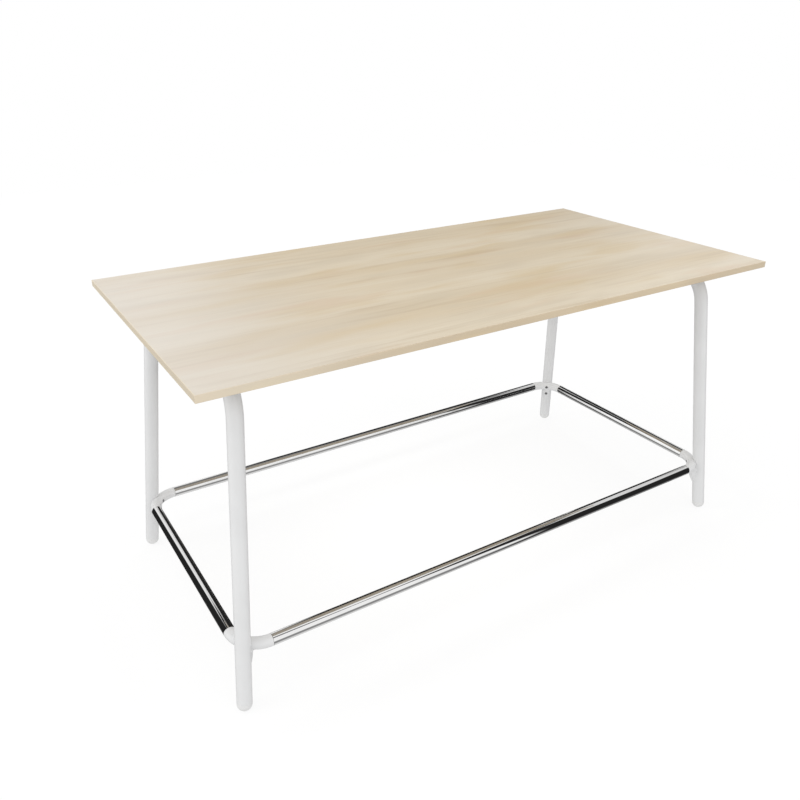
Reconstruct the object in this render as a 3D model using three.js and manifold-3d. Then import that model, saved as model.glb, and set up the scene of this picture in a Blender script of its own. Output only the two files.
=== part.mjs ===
// Standing meeting table: a laminated board on two bent tube end frames, with a foot rail all round.
// The rail tubes are pushed over the spigots of four cast connectors, which are screwed to the legs.
// Millimetres, +X along the table, +Y to the back, +Z up. The origin is on the floor, under the
// middle of the top.

import * as THREE from 'three';
import { mergeVertices } from 'three/addons/utils/BufferGeometryUtils.js';
import Module from 'manifold-3d';

const wasm = await Module();
wasm.setup();

// Table top
const TOP_LENGTH = 1800;
const TOP_DEPTH = 900;
const TOP_THICKNESS = 18;
const TABLE_HEIGHT = 904;
const LAMINATE = 0.8;
const EDGE_BAND = 2;
const EDGE_ROUND = 1.2;

// End frames: the insets run in plan from the edge of the top to the leg's axis at the floor
const LEG_DIAMETER = 40;
const LEG_WALL = 2;
const LEG_BEND = 110;
const LEG_SPLAY = THREE.MathUtils.degToRad(6);
const LEG_INSET_END = 35.7;
const LEG_INSET_SIDE = 38.3;

// Feet: a dome with a small flat under it, a collar under the tube's end and a barbed plug
const FOOT_FLAT_DEPTH = 1;
const FOOT_COLLAR = 6;
const FOOT_PLUG_LENGTH = 26;
const FOOT_BARBS = 2;
const FOOT_BARB_DEPTH = 1.2;

// Foot rails: proud is how far the rail stands outside the leg's outer side
const RAIL_HEIGHT = 175;
const RAIL_DIAMETER = 32;
const RAIL_WALL = 1.5;
const RAIL_PROUD = 1.9;

// Corner connectors: drops run down the leg from the rail's axis
const ELBOW_BEND = 79.5;
const ELBOW_END = 0.5;
const SPIGOT_LENGTH = 34;
const SPIGOT_CHAMFER = 2;
const LUG_ROOT = { drop: 11, proud: 11, radius: 20.5 };
const LUG_WAIST = { drop: 34, proud: 12.5, radius: 17 };
const LUG_SHOULDER = { drop: 53, proud: 8.8, radius: 13 };
const LUG_TIP = { drop: 76, proud: 0, radius: 4.5 };

// Connector screws and the rivet nuts that they thread into
const SCREW_DIAMETER = 6;
const SCREW_TIP_CHAMFER = 0.75;
const SCREW_HEAD_DIAMETER = 10.5;
const SCREW_HEAD_HEIGHT = 3.3;
const SCREW_HEAD_RIM = 1;
const SCREW_FACE_DIAMETER = 6.3;
const SCREW_SOCKET_WIDTH = 4;
const SCREW_SOCKET_DEPTH = 2;
const SCREW_POCKET_DEPTH = 3.6;
const UPPER_SCREW_DROP = -5;
const LOWER_SCREW_DROP = 31;
const NUT_BODY_DIAMETER = 9;
const NUT_FLANGE_DIAMETER = 12;
const NUT_FLANGE = 1.2;
const NUT_BULGE = 4;
const NUT_LENGTH = 12;

// Mounting plates welded on the top tubes, with wood screws into the board
const PLATE_LENGTH = 104;
const PLATE_WIDTH = 40;
const PLATE_THICKNESS = 3;
const PLATE_CORNER = 6;
const PLATE_HOLE_SPACING = 76;
const PLATE_TO_STRETCHER = 72;
const WOOD_SCREW_DIAMETER = 5;
const WOOD_SCREW_HEAD_DIAMETER = 9;
const WOOD_SCREW_HEAD_HEIGHT = 2.6;
const WOOD_SCREW_FACE_DIAMETER = 6.3;
const WOOD_SCREW_COVER = 4.5;

// Stretchers under the top, pushed over stubs on the top tubes and locked by one bolt at each end
const STRETCHER_WIDTH = 20;
const STRETCHER_HEIGHT = 40;
const STRETCHER_WALL = 1.5;
const STRETCHER_CORNER = 2.5;
const STRETCHER_INSET = 36;
const STRETCHER_END_GAP = 2;
const STUB_LENGTH = 60;
const STUB_COPE = 10;
const BOLT_DIAMETER = 6;
const BOLT_HEAD_DIAMETER = 12;
const BOLT_HEAD_HEIGHT = 3;
const BOLT_FACE_DIAMETER = 8.4;
const BOLT_LENGTH = 16;

// Gaps: between pieces that slide over each other, and between turned or round faces that meet
const CLEARANCE = 0.3;
const SEAT = 0.3;

// Facets
const LEG_SIDES = 20;
const RAIL_SIDES = 16;
const BORE_SIDES = 12;
const LUG_SIDES = 16;
const SCREW_SIDES = 8;
const SMALL_SIDES = 8;
const SOCKET_SIDES = 6;
const BEND_STEPS = 7;
const ELBOW_STEPS = 6;
const LUG_STEPS = 4;
const DOME_STEPS = 4;
const CROWN_STEPS = 2;
const ARC_STEPS = 3;

// Worked out from the sizes above
const LEG_RADIUS = LEG_DIAMETER / 2;
const LEG_BORE = LEG_RADIUS - LEG_WALL;
const RAIL_RADIUS = RAIL_DIAMETER / 2;
const SPLAY = Math.tan(LEG_SPLAY);
const LEG_STRETCH = Math.hypot(1, SPLAY, SPLAY);
const TOP_UNDERSIDE = TABLE_HEIGHT - TOP_THICKNESS;
const PLATE_UNDERSIDE = TOP_UNDERSIDE - PLATE_THICKNESS;
const TUBE_HEIGHT = PLATE_UNDERSIDE - SEAT - LEG_RADIUS;
const legX = (height) => TOP_LENGTH / 2 - LEG_INSET_END - height * SPLAY;
const legY = (height) => TOP_DEPTH / 2 - LEG_INSET_SIDE - height * SPLAY;
const RAIL_OFFSET = LEG_RADIUS + RAIL_PROUD - RAIL_RADIUS;
const RAIL_X = legX(RAIL_HEIGHT) + RAIL_OFFSET;
const RAIL_Y = legY(RAIL_HEIGHT) + RAIL_OFFSET;
const ELBOW_REACH = ELBOW_BEND + ELBOW_END;
const ELBOW_FACE = (ELBOW_BEND - RAIL_OFFSET) * Math.SQRT2 - (ELBOW_BEND - RAIL_RADIUS);
const DOME_HEIGHT = LEG_RADIUS - FOOT_FLAT_DEPTH;
const DOME_DROP = (RAIL_HEIGHT - DOME_HEIGHT) * LEG_STRETCH;
const TUBE_END_HEIGHT = DOME_HEIGHT + (FOOT_COLLAR + SEAT) / LEG_STRETCH;
const HOOP_TURN = Math.PI / 2 - Math.asin(SPLAY / LEG_STRETCH);
const STRAIGHT_HALF = legY(TUBE_HEIGHT) - LEG_BEND * Math.tan(HOOP_TURN / 2);
const STRETCHER_Y = STRAIGHT_HALF - STRETCHER_INSET;
const STRETCHER_Z = TOP_UNDERSIDE - STRETCHER_HEIGHT / 2;
const PLATE_Y = STRETCHER_Y - PLATE_TO_STRETCHER;

const CORNERS = [
  { name: 'back_right', x: 1, y: 1, quarterTurns: 0 },
  { name: 'back_left', x: -1, y: 1, quarterTurns: 1 },
  { name: 'front_left', x: -1, y: -1, quarterTurns: 2 },
  { name: 'front_right', x: 1, y: -1, quarterTurns: 3 },
];
const ENDS = [{ name: 'left', x: -1 }, { name: 'right', x: 1 }];
const SIDES = [{ name: 'front', y: -1 }, { name: 'back', y: 1 }];

// Finishes
const finish = (color, roughness, metalness) =>
  new THREE.MeshStandardMaterial({ color, roughness, metalness });
const LAMINATE_FINISH = finish(0xded1bd, 0.45, 0);
const BAND_FINISH = finish(0xd0bd9f, 0.5, 0);
const CORE_FINISH = finish(0xc4a679, 0.85, 0);
const WHITE_PAINT = finish(0xe6e6e5, 0.4, 0);
const WHITE_PLASTIC = finish(0xe4e4e2, 0.5, 0);
const CHROME = finish(0xd9dadc, 0.06, 1);
const DARK_STEEL = finish(0x959597, 0.4, 1);
const ZINC_STEEL = finish(0xb4b5b2, 0.35, 1);

// A centre line of straight runs joined by arcs. Its stations lie only at the ends and along the
// arcs, so a section that is swept along it has no needless rings.
class BentLine extends THREE.Curve {
  constructor(corners, bendRadius, arcSteps) {
    super();
    const heading = (from, to) => to.clone().sub(from).normalize();
    const last = corners.length - 1;
    this.stations = [{ point: corners[0], tangent: heading(corners[0], corners[1]) }];
    for (let i = 1; i < last; i += 1) {
      const before = heading(corners[i - 1], corners[i]);
      const after = heading(corners[i], corners[i + 1]);
      this.addArc(corners[i], before, after, bendRadius, arcSteps);
    }
    this.stations.push({ point: corners[last], tangent: heading(corners[last - 1], corners[last]) });
  }

  addArc(corner, before, after, radius, steps) {
    const turn = before.angleTo(after);
    const inward = after.clone().addScaledVector(before, -before.dot(after)).normalize();
    const start = corner.clone().addScaledVector(before, -radius * Math.tan(turn / 2));
    for (let i = 0; i <= steps; i += 1) {
      const angle = (turn * i) / steps;
      const point = start.clone();
      point.addScaledVector(before, radius * Math.sin(angle));
      point.addScaledVector(inward, radius * (1 - Math.cos(angle)));
      const tangent = before.clone().multiplyScalar(Math.cos(angle));
      tangent.addScaledVector(inward, Math.sin(angle));
      this.stations.push({ point, tangent });
    }
  }

  getSpacedPoints() {
    return this.stations.map(({ point }) => point.clone());
  }

  getTangentAt(u) {
    return this.stations[Math.round(u * (this.stations.length - 1))].tangent.clone();
  }
}

// Solids: a three.js geometry with its shared vertices merged, and back again
function toSolid(geometry) {
  const bare = geometry.clone();
  bare.deleteAttribute('normal');
  bare.deleteAttribute('uv');
  const merged = mergeVertices(bare);
  const corners = merged.index.array;
  const triangles = [];
  for (let i = 0; i < corners.length; i += 3) {
    const [a, b, c] = corners.slice(i, i + 3);
    if (a !== b && b !== c && c !== a) {
      triangles.push(a, b, c);
    }
  }
  return new wasm.Manifold(new wasm.Mesh({
    numProp: 3,
    vertProperties: new Float32Array(merged.attributes.position.array),
    triVerts: new Uint32Array(triangles),
  }));
}

function toGeometry(solid) {
  const mesh = solid.getMesh();
  const geometry = new THREE.BufferGeometry();
  geometry.setAttribute('position', new THREE.BufferAttribute(mesh.vertProperties, mesh.numProp));
  geometry.setIndex(new THREE.BufferAttribute(mesh.triVerts, 1));
  geometry.computeVertexNormals();
  return geometry;
}

// Cuts the same shape out of a solid at the place of each given piece
function cutAt(solid, cutter, pieces) {
  let rest = solid;
  for (const piece of pieces) {
    piece.updateWorldMatrix(true, false);
    rest = rest.subtract(toSolid(cutter.clone().applyMatrix4(piece.matrixWorld)));
  }
  return rest;
}

// Points of a round section: an outside has its corners on the circle, a hole has its flats on it
const ringOf = (radius, sides) =>
  Array.from({ length: sides }, (_, i) => {
    const angle = (2 * Math.PI * i) / sides;
    return new THREE.Vector2(radius * Math.cos(angle), radius * Math.sin(angle));
  });
const outside = (radius, sides) => ringOf(radius, sides);
const hole = (radius, sides) => ringOf(radius / Math.cos(Math.PI / sides), sides);

function tubeSection(radius, wall, sides) {
  const section = new THREE.Shape(outside(radius, sides));
  section.holes.push(new THREE.Path(hole(radius - wall, BORE_SIDES)));
  return section;
}

function rectangle(width, height) {
  const x = width / 2;
  const y = height / 2;
  return [[-x, -y], [x, -y], [x, y], [-x, y]].map((corner) => new THREE.Vector2(...corner));
}

function roundedRectangle(width, height, radius) {
  const x = width / 2 - radius;
  const y = height / 2 - radius;
  const shape = new THREE.Shape();
  shape.absarc(x, y, radius, 0, Math.PI / 2);
  shape.absarc(-x, y, radius, Math.PI / 2, Math.PI);
  shape.absarc(-x, -y, radius, Math.PI, 1.5 * Math.PI);
  shape.absarc(x, -y, radius, 1.5 * Math.PI, 2 * Math.PI);
  return shape;
}

// A bar of a section along +Z, from one height to another
function bar(section, from, to) {
  const options = { depth: to - from, bevelEnabled: false, curveSegments: ARC_STEPS };
  return new THREE.ExtrudeGeometry(section, options).translate(0, 0, from);
}

const drill = (radius, from, to, sides = SMALL_SIDES) => bar(new THREE.Shape(hole(radius, sides)), from, to);

// A profile of [radius, height] pairs turned about +Z
function turned(profile, sides) {
  const points = profile.map(([radius, height]) => new THREE.Vector2(radius, height));
  return new THREE.LatheGeometry(points, sides).rotateX(Math.PI / 2);
}

const sweep = (section, line) =>
  new THREE.ExtrudeGeometry(section, { steps: line.stations.length - 1, extrudePath: line });

const table = new THREE.Group();

function addPiece(parent, name, geometry, material) {
  const mesh = new THREE.Mesh(geometry, material);
  mesh.name = name;
  parent.add(mesh);
  return mesh;
}

// Places: one group at each corner of the foot rail, turned so that the table's middle lies towards
// its -X and -Y, and in it one group on the leg with +Z up the leg and +X to the inner diagonal
const LEG_UP = new THREE.Vector3(-SPLAY, -SPLAY, 1).normalize();
const LEG_ACROSS = new THREE.Vector3(1, -1, 0).normalize();
const LEG_INWARD = LEG_ACROSS.clone().cross(LEG_UP);
const LEG_TURN = new THREE.Matrix4().makeBasis(LEG_INWARD, LEG_ACROSS, LEG_UP);
const LEG_PLACE = LEG_TURN.clone().setPosition(-RAIL_OFFSET, -RAIL_OFFSET, 0);

for (const corner of CORNERS) {
  corner.group = new THREE.Group();
  corner.group.position.set(corner.x * RAIL_X, corner.y * RAIL_Y, RAIL_HEIGHT);
  corner.group.rotation.z = (corner.quarterTurns * Math.PI) / 2;
  table.add(corner.group);
  corner.leg = new THREE.Group();
  corner.leg.applyMatrix4(LEG_PLACE);
  corner.group.add(corner.leg);
}

// Connector screws: a button head with a hexagon socket, its seat at height zero
const CONNECTOR_SCREWS = [
  { name: 'upper', drop: UPPER_SCREW_DROP, face: ELBOW_FACE },
  { name: 'lower', drop: LOWER_SCREW_DROP, face: LEG_RADIUS + LUG_WAIST.proud },
];
const NUT_TIP = LEG_RADIUS + SEAT + NUT_FLANGE - NUT_LENGTH;

function connectorScrew(length) {
  const shank = SCREW_DIAMETER / 2;
  const head = SCREW_HEAD_DIAMETER / 2;
  const face = SCREW_FACE_DIAMETER / 2;
  const top = SCREW_HEAD_HEIGHT;
  const profile = [
    [0, -length],
    [shank - SCREW_TIP_CHAMFER, -length],
    [shank, -length + SCREW_TIP_CHAMFER],
    [shank, 0],
    [head, 0],
  ];
  for (let i = 0; i <= CROWN_STEPS; i += 1) {
    const angle = (Math.PI / 2) * (i / CROWN_STEPS);
    const radius = face + (head - face) * Math.cos(angle);
    profile.push([radius, SCREW_HEAD_RIM + (top - SCREW_HEAD_RIM) * Math.sin(angle)]);
  }
  const blank = turned([...profile, [0, top]], SCREW_SIDES);
  const socket = drill(SCREW_SOCKET_WIDTH / 2, top - SCREW_SOCKET_DEPTH, top + SEAT, SOCKET_SIDES);
  return toGeometry(toSolid(blank).subtract(toSolid(socket)));
}

// Rivet nut: a flange outside the leg, a body through its wall and a crimped bulge inside
function rivetNut() {
  const thread = SCREW_DIAMETER / 2 + CLEARANCE;
  const bore = thread / Math.cos(Math.PI / SMALL_SIDES);
  const body = NUT_BODY_DIAMETER / 2;
  const flange = NUT_FLANGE_DIAMETER / 2;
  const bulgeTop = Math.sqrt(LEG_BORE ** 2 - flange ** 2) - LEG_RADIUS - 2 * SEAT;
  const tip = NUT_FLANGE - NUT_LENGTH;
  return turned([
    [bore, tip],
    [body, tip],
    [body, bulgeTop - NUT_BULGE],
    [flange, bulgeTop - NUT_BULGE / 2],
    [body, bulgeTop],
    [body, 0],
    [flange, 0],
    [flange, NUT_FLANGE],
    [bore, NUT_FLANGE],
    [bore, tip],
  ], SMALL_SIDES);
}

const nutGeometry = rivetNut();
for (const screw of CONNECTOR_SCREWS) {
  screw.seat = screw.face - SCREW_POCKET_DEPTH + SEAT;
  screw.geometry = connectorScrew(screw.seat - NUT_TIP);
}
for (const corner of CORNERS) {
  corner.nuts = [];
  for (const screw of CONNECTOR_SCREWS) {
    const label = `${screw.name}_${corner.name}`;
    const head = addPiece(corner.leg, `connector_screw_${label}`, screw.geometry, DARK_STEEL);
    head.position.set(screw.seat, 0, -screw.drop);
    head.rotation.y = Math.PI / 2;
    const nut = addPiece(corner.leg, `rivet_nut_${label}`, nutGeometry, ZINC_STEEL);
    nut.position.set(LEG_RADIUS + SEAT, 0, -screw.drop);
    nut.rotation.y = Math.PI / 2;
    corner.nuts.push(nut);
  }
}

// End frames: one tube each, bent into an inverted U that leans outwards, drilled for the rivet nuts
function endFrame(x) {
  const onLeg = (side, height) => new THREE.Vector3(x * legX(height), side * legY(height), height);
  const line = new BentLine([
    onLeg(-1, TUBE_END_HEIGHT),
    onLeg(-1, TUBE_HEIGHT),
    onLeg(1, TUBE_HEIGHT),
    onLeg(1, TUBE_END_HEIGHT),
  ], LEG_BEND, BEND_STEPS);
  const tube = toSolid(sweep(tubeSection(LEG_RADIUS, LEG_WALL, LEG_SIDES), line));
  const nuts = CORNERS.filter((corner) => corner.x === x).flatMap((corner) => corner.nuts);
  const nutHole = drill(NUT_BODY_DIAMETER / 2 + CLEARANCE, -NUT_LENGTH, NUT_LENGTH);
  return toGeometry(cutAt(tube, nutHole, nuts));
}

for (const end of ENDS) {
  addPiece(table, `end_frame_${end.name}`, endFrame(end.x), WHITE_PAINT);
}

// Feet: a dome turned on the leg's axis, then cut flat where it meets the floor
function foot() {
  const plug = LEG_BORE - CLEARANCE;
  const barbPitch = FOOT_PLUG_LENGTH / FOOT_BARBS;
  const profile = [];
  for (let i = 0; i <= DOME_STEPS; i += 1) {
    const angle = (Math.PI / 2) * (i / DOME_STEPS);
    profile.push([LEG_RADIUS * Math.sin(angle), -LEG_RADIUS * Math.cos(angle)]);
  }
  profile.push([LEG_RADIUS, FOOT_COLLAR]);
  for (let i = 0; i < FOOT_BARBS; i += 1) {
    const height = FOOT_COLLAR + i * barbPitch;
    profile.push([plug - FOOT_BARB_DEPTH, height], [plug, height + barbPitch / 2]);
  }
  const tip = FOOT_COLLAR + FOOT_PLUG_LENGTH;
  profile.push([plug - FOOT_BARB_DEPTH, tip], [0, tip]);
  const blank = turned(profile, LEG_SIDES).translate(0, 0, -DOME_DROP).applyMatrix4(LEG_PLACE);
  return toGeometry(toSolid(blank).trimByPlane([0, 0, 1], -RAIL_HEIGHT));
}

// Corner connector: an elbow with two spigots, hollowed to sit on the leg's inner side, and a lug
// that tapers down the leg. Each screw has a pocket for its head and room for its nut's flange.
function lug() {
  const sections = [LUG_TIP, LUG_SHOULDER, LUG_WAIST, LUG_ROOT];
  const curve = new THREE.CatmullRomCurve3(sections.map(({ drop, proud, radius }) =>
    new THREE.Vector3(radius, LEG_RADIUS + proud - radius, -drop)));
  const rings = curve.getPoints(LUG_STEPS);
  const profile = rings.map(({ x, z }) => [x, z]);
  const shape = turned([[0, -LUG_TIP.drop], ...profile, [0, -LUG_ROOT.drop]], LUG_SIDES);
  const position = shape.attributes.position;
  for (let i = 0; i < position.count; i += 1) {
    const height = position.getZ(i);
    const ring = rings.reduce((a, b) => (Math.abs(b.z - height) < Math.abs(a.z - height) ? b : a));
    position.setX(i, position.getX(i) + ring.y);
  }
  return shape.applyMatrix4(LEG_PLACE);
}

function spigot() {
  const radius = RAIL_RADIUS - RAIL_WALL - CLEARANCE;
  return turned([
    [0, -ELBOW_END],
    [radius, -ELBOW_END],
    [radius, SPIGOT_LENGTH - SPIGOT_CHAMFER],
    [radius - SPIGOT_CHAMFER, SPIGOT_LENGTH],
    [0, SPIGOT_LENGTH],
  ], BORE_SIDES);
}

function connector() {
  const elbowLine = new BentLine([
    new THREE.Vector3(-ELBOW_REACH, 0, 0),
    new THREE.Vector3(0, 0, 0),
    new THREE.Vector3(0, -ELBOW_REACH, 0),
  ], ELBOW_BEND, ELBOW_STEPS);
  const elbow = sweep(new THREE.Shape(outside(RAIL_RADIUS, RAIL_SIDES)), elbowLine);
  const alongX = spigot().rotateY(-Math.PI / 2).translate(-ELBOW_REACH, 0, 0);
  const alongY = spigot().rotateX(Math.PI / 2).translate(0, -ELBOW_REACH, 0);
  let casting = toSolid(elbow).add(toSolid(alongX)).add(toSolid(alongY)).add(toSolid(lug()));

  const saddle = drill(LEG_RADIUS + SEAT, -LUG_TIP.drop - LEG_DIAMETER, LEG_DIAMETER, LEG_SIDES);
  casting = casting.subtract(toSolid(saddle.applyMatrix4(LEG_PLACE)));

  const flangeTop = LEG_RADIUS + 2 * SEAT + NUT_FLANGE;
  for (const screw of CONNECTOR_SCREWS) {
    const cuts = [
      drill(SCREW_DIAMETER / 2 + CLEARANCE, 0, screw.face),
      drill(NUT_FLANGE_DIAMETER / 2 + CLEARANCE, 0, flangeTop),
      drill(SCREW_HEAD_DIAMETER / 2 + 2 * CLEARANCE, screw.seat - SEAT, screw.face + LEG_RADIUS),
    ];
    for (const cut of cuts) {
      cut.rotateY(Math.PI / 2).translate(0, 0, -screw.drop).applyMatrix4(LEG_PLACE);
      casting = casting.subtract(toSolid(cut));
    }
  }
  return toGeometry(casting);
}

const footGeometry = foot();
const connectorGeometry = connector();
for (const corner of CORNERS) {
  addPiece(corner.group, `foot_${corner.name}`, footGeometry, WHITE_PLASTIC);
  addPiece(corner.group, `corner_connector_${corner.name}`, connectorGeometry, WHITE_PAINT);
}

// Foot rails: straight tubes from elbow to elbow
function footRail(halfLength) {
  const half = halfLength - ELBOW_REACH - SEAT;
  return bar(tubeSection(RAIL_RADIUS, RAIL_WALL, RAIL_SIDES), -half, half);
}

for (const side of SIDES) {
  const rail = addPiece(table, `foot_rail_${side.name}`, footRail(RAIL_X), CHROME);
  rail.position.set(0, side.y * RAIL_Y, RAIL_HEIGHT);
  rail.rotation.y = Math.PI / 2;
}
for (const end of ENDS) {
  const rail = addPiece(table, `foot_rail_${end.name}`, footRail(RAIL_Y), CHROME);
  rail.position.set(end.x * RAIL_X, 0, RAIL_HEIGHT);
  rail.rotation.x = Math.PI / 2;
}

// Stretchers with their stubs and bolts
const STUB_WIDTH = STRETCHER_WIDTH - 2 * (STRETCHER_WALL + CLEARANCE);
const STUB_HEIGHT = STRETCHER_HEIGHT - 2 * (STRETCHER_WALL + CLEARANCE);
const TUBE_X = legX(TUBE_HEIGHT);
const STRETCHER_END = TUBE_X - LEG_RADIUS - STRETCHER_END_GAP;
const STUB_START = TUBE_X - STUB_COPE;
const BOLT_X = (STRETCHER_END + STUB_START - STUB_LENGTH) / 2;
const BOLT_SEAT = TOP_UNDERSIDE - STRETCHER_HEIGHT - SEAT;

function bolt() {
  const shank = BOLT_DIAMETER / 2;
  const head = BOLT_HEAD_DIAMETER / 2;
  return turned([
    [0, -BOLT_HEAD_HEIGHT],
    [BOLT_FACE_DIAMETER / 2, -BOLT_HEAD_HEIGHT],
    [head, -BOLT_HEAD_HEIGHT / 2],
    [head, 0],
    [shank, 0],
    [shank, BOLT_LENGTH],
    [0, BOLT_LENGTH],
  ], SMALL_SIDES);
}

const boltGeometry = bolt();
const boltHole = drill(BOLT_DIAMETER / 2 + CLEARANCE, -SEAT, BOLT_LENGTH + SEAT);

for (const side of SIDES) {
  const bolts = [];
  for (const end of ENDS) {
    const label = `${side.name}_${end.name}`;
    const piece = addPiece(table, `stretcher_bolt_${label}`, boltGeometry, ZINC_STEEL);
    piece.position.set(end.x * BOLT_X, side.y * STRETCHER_Y, BOLT_SEAT);
    bolts.push(piece);

    const stub = new THREE.BoxGeometry(STUB_LENGTH, STUB_WIDTH, STUB_HEIGHT);
    const middle = end.x * (STUB_START - STUB_LENGTH / 2);
    stub.translate(middle, side.y * STRETCHER_Y, STRETCHER_Z);
    const cope = drill(LEG_RADIUS + SEAT, -STRETCHER_WIDTH, STRETCHER_WIDTH, LEG_SIDES);
    cope.rotateX(Math.PI / 2).translate(end.x * TUBE_X, side.y * STRETCHER_Y, TUBE_HEIGHT);
    const coped = toSolid(stub).subtract(toSolid(cope));
    addPiece(table, `stretcher_stub_${label}`, toGeometry(cutAt(coped, boltHole, [piece])), WHITE_PAINT);
  }
  const section = roundedRectangle(STRETCHER_HEIGHT, STRETCHER_WIDTH, STRETCHER_CORNER);
  const inner = rectangle(STRETCHER_HEIGHT - 2 * STRETCHER_WALL, STRETCHER_WIDTH - 2 * STRETCHER_WALL);
  section.holes.push(new THREE.Path(inner));
  const tube = bar(section, -STRETCHER_END, STRETCHER_END).rotateY(Math.PI / 2);
  tube.translate(0, side.y * STRETCHER_Y, STRETCHER_Z);
  const drilled = cutAt(toSolid(tube), boltHole, bolts);
  addPiece(table, `stretcher_${side.name}`, toGeometry(drilled), WHITE_PAINT);
}

// Mounting plates and wood screws
const CORE_THICKNESS = TOP_THICKNESS - 2 * LAMINATE;
const WOOD_SCREW_LENGTH = PLATE_THICKNESS + LAMINATE + CORE_THICKNESS - WOOD_SCREW_COVER;

function mountingPlate() {
  const plate = roundedRectangle(PLATE_LENGTH, PLATE_WIDTH, PLATE_CORNER);
  for (const side of [-1, 1]) {
    const ring = hole(WOOD_SCREW_DIAMETER / 2 + CLEARANCE, SMALL_SIDES);
    const centre = new THREE.Vector2((side * PLATE_HOLE_SPACING) / 2, 0);
    plate.holes.push(new THREE.Path(ring.map((point) => point.add(centre))));
  }
  return bar(plate, 0, PLATE_THICKNESS);
}

function woodScrew() {
  const shank = WOOD_SCREW_DIAMETER / 2;
  const head = WOOD_SCREW_HEAD_DIAMETER / 2;
  return turned([
    [0, -WOOD_SCREW_HEAD_HEIGHT],
    [WOOD_SCREW_FACE_DIAMETER / 2, -WOOD_SCREW_HEAD_HEIGHT],
    [head, -WOOD_SCREW_HEAD_HEIGHT / 2],
    [head, 0],
    [shank, 0],
    [shank, WOOD_SCREW_LENGTH - WOOD_SCREW_DIAMETER],
    [0, WOOD_SCREW_LENGTH],
  ], SMALL_SIDES);
}

const plateGeometry = mountingPlate();
const woodScrewGeometry = woodScrew();
const woodScrews = [];
for (const end of ENDS) {
  for (const side of SIDES) {
    const label = `${side.name}_${end.name}`;
    const plate = addPiece(table, `mounting_plate_${label}`, plateGeometry, WHITE_PAINT);
    plate.position.set(end.x * TUBE_X, side.y * PLATE_Y, PLATE_UNDERSIDE);
    for (const [place, step] of [['inner', -end.x], ['outer', end.x]]) {
      const screw = addPiece(table, `wood_screw_${place}_${label}`, woodScrewGeometry, ZINC_STEEL);
      const x = end.x * TUBE_X + (step * PLATE_HOLE_SPACING) / 2;
      screw.position.set(x, side.y * PLATE_Y, PLATE_UNDERSIDE);
      woodScrews.push(screw);
    }
  }
}

// Table top: a core between two laminates, with a band round its four edges
const BOARD_LENGTH = TOP_LENGTH - 2 * EDGE_BAND;
const BOARD_DEPTH = TOP_DEPTH - 2 * EDGE_BAND;
const pilotHole = drill(WOOD_SCREW_DIAMETER / 2 + CLEARANCE, 0, WOOD_SCREW_LENGTH + CLEARANCE);

function sheet(thickness, underside) {
  const shape = new THREE.BoxGeometry(BOARD_LENGTH, BOARD_DEPTH, thickness);
  return shape.translate(0, 0, underside + thickness / 2);
}

const backing = cutAt(toSolid(sheet(LAMINATE, TOP_UNDERSIDE)), pilotHole, woodScrews);
const core = cutAt(toSolid(sheet(CORE_THICKNESS, TOP_UNDERSIDE + LAMINATE)), pilotHole, woodScrews);
addPiece(table, 'backing_laminate', toGeometry(backing), LAMINATE_FINISH);
addPiece(table, 'core_board', toGeometry(core), CORE_FINISH);
addPiece(table, 'top_laminate', sheet(LAMINATE, TABLE_HEIGHT - LAMINATE), LAMINATE_FINISH);

function edgeBand(length) {
  const round = EDGE_ROUND;
  const section = new THREE.Shape();
  section.moveTo(0, 0);
  section.absarc(EDGE_BAND - round, round, round, -Math.PI / 2, 0);
  section.absarc(EDGE_BAND - round, TOP_THICKNESS - round, round, 0, Math.PI / 2);
  section.lineTo(0, TOP_THICKNESS);
  section.closePath();
  return bar(section, -length / 2, length / 2).rotateX(Math.PI / 2);
}

for (const side of SIDES) {
  const band = addPiece(table, `edge_band_${side.name}`, edgeBand(TOP_LENGTH), BAND_FINISH);
  band.position.set(0, (side.y * BOARD_DEPTH) / 2, TOP_UNDERSIDE);
  band.rotation.z = (side.y * Math.PI) / 2;
}
for (const end of ENDS) {
  const band = addPiece(table, `edge_band_${end.name}`, edgeBand(BOARD_DEPTH), BAND_FINISH);
  band.position.set((end.x * BOARD_LENGTH) / 2, 0, TOP_UNDERSIDE);
  band.rotation.z = end.x > 0 ? 0 : Math.PI;
}

export default table;
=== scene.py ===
"""Dresses the construction of a standing meeting table.

A pale laminated board lies on two bent tube frames, with a chromed foot rail all round that is held
by four cast connectors. Metres, in the frame of the construction: +X along the table, +Z up.
"""

import math

import bmesh
import bpy
from bpy.props import FloatProperty, FloatVectorProperty, PointerProperty
from bpy.types import Operator, Panel, PropertyGroup
from mathutils import Matrix, Vector


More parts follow.
